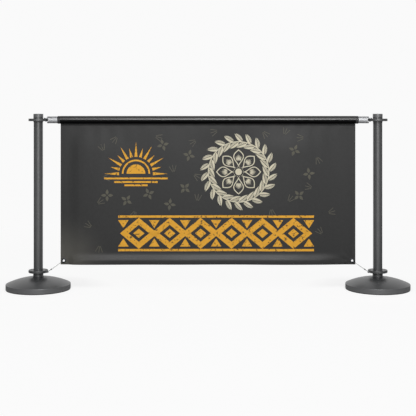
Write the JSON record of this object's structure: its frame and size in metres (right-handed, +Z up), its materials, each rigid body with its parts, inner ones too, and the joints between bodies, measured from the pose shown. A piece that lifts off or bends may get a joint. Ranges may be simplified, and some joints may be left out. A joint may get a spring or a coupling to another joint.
{
  "type": "cafe barrier",
  "caption": "Free-standing cafe barrier: weighted posts with hook rings, a crossbar with sprung locking sleeves, and a cloth banner held down by elastic cords.",
  "frame": {"origin": "on the floor, midway between the two posts", "axes": "+X along the barrier to the right as seen from its front, +Y towards its back, +Z up"},
  "size_m": [2.241, 0.356, 0.973],
  "materials": {
    "powder_coat": "satin black powder coat on steel",
    "cast_iron": "rough sand cast",
    "rubber": "matt moulded rubber",
    "zinc_steel": "zinc plated steel",
    "chrome": "bright chrome plate",
    "black_aluminium": "black anodised",
    "black_plastic": "moulded black nylon",
    "black_nickel": "black nickel plate",
    "banner_cloth": "satin PVC coated cloth, printed",
    "elastic": "braided cover over a rubber core"
  },
  "bodies": {
    "left_post": {"left_floor_pad": "rubber", "left_base_weight": "cast_iron", "left_base_cover": "powder_coat", "left_base_bolt": "zinc_steel", "left_base_washer": "zinc_steel", "left_tube_plug": "zinc_steel", "left_post_tube": "powder_coat", "left_foot_collar": "powder_coat", "left_lower_ring": "powder_coat", "left_lower_ring_screw": "zinc_steel", "left_upper_ring": "powder_coat", "left_upper_ring_screw": "zinc_steel", "left_post_cap": "powder_coat"},
    "crossbar": {"bar_tube": "black_aluminium", "banner": "banner_cloth", "left_hook": "zinc_steel", "left_hook_rod": "zinc_steel", "left_sleeve_spring": "zinc_steel", "left_bar_plug": "black_plastic", "left_plug_screw": "zinc_steel", "left_rod_nut": "zinc_steel", "left_bar_collar": "black_plastic", "right_hook": "zinc_steel", "right_hook_rod": "zinc_steel", "right_sleeve_spring": "zinc_steel", "right_bar_plug": "black_plastic", "right_plug_screw": "zinc_steel", "right_rod_nut": "zinc_steel", "right_bar_collar": "black_plastic", "left_eyelet": "black_nickel", "left_eyelet_washer": "black_nickel", "left_eyelet_hook": "zinc_steel", "left_eyelet_crimp": "black_nickel", "left_elastic_cord": "elastic", "left_ring_crimp": "black_nickel", "left_ring_hook": "zinc_steel", "right_eyelet": "black_nickel", "right_eyelet_washer": "black_nickel", "right_eyelet_hook": "zinc_steel", "right_eyelet_crimp": "black_nickel", "right_elastic_cord": "elastic", "right_ring_crimp": "black_nickel", "right_ring_hook": "zinc_steel"},
    "left_sleeve": {"left_sleeve": "chrome"},
    "right_sleeve": {"right_sleeve": "chrome"},
    "right_post": {"right_floor_pad": "rubber", "right_base_weight": "cast_iron", "right_base_cover": "powder_coat", "right_base_bolt": "zinc_steel", "right_base_washer": "zinc_steel", "right_tube_plug": "zinc_steel", "right_post_tube": "powder_coat", "right_foot_collar": "powder_coat", "right_lower_ring": "powder_coat", "right_lower_ring_screw": "zinc_steel", "right_upper_ring": "powder_coat", "right_upper_ring_screw": "zinc_steel", "right_post_cap": "powder_coat"}
  },
  "joints": [
    {"name": "left_hook_swivel", "type": "hinge", "parent": "left_post", "child": "crossbar", "pos_m": [-0.9005, 0, 0.939], "axis": [0, 0, 1], "range_deg": [-25, 25]},
    {"name": "right_hook_swivel", "type": "hinge", "parent": "crossbar", "child": "right_post", "pos_m": [0.9005, 0, 0.939], "axis": [0, 0, 1], "range_deg": [-25, 25]},
    {"name": "left_sleeve_slide", "type": "slide", "parent": "crossbar", "child": "left_sleeve", "axis": [1, 0, 0], "range_m": [0, 0.02], "stiffness_N_per_m": 400, "springref_m": -0.02, "deforming": ["left_sleeve_spring"]},
    {"name": "right_sleeve_slide", "type": "slide", "parent": "crossbar", "child": "right_sleeve", "axis": [-1, 0, 0], "range_m": [0, 0.02], "stiffness_N_per_m": 400, "springref_m": -0.02, "deforming": ["right_sleeve_spring"]}
  ]
}
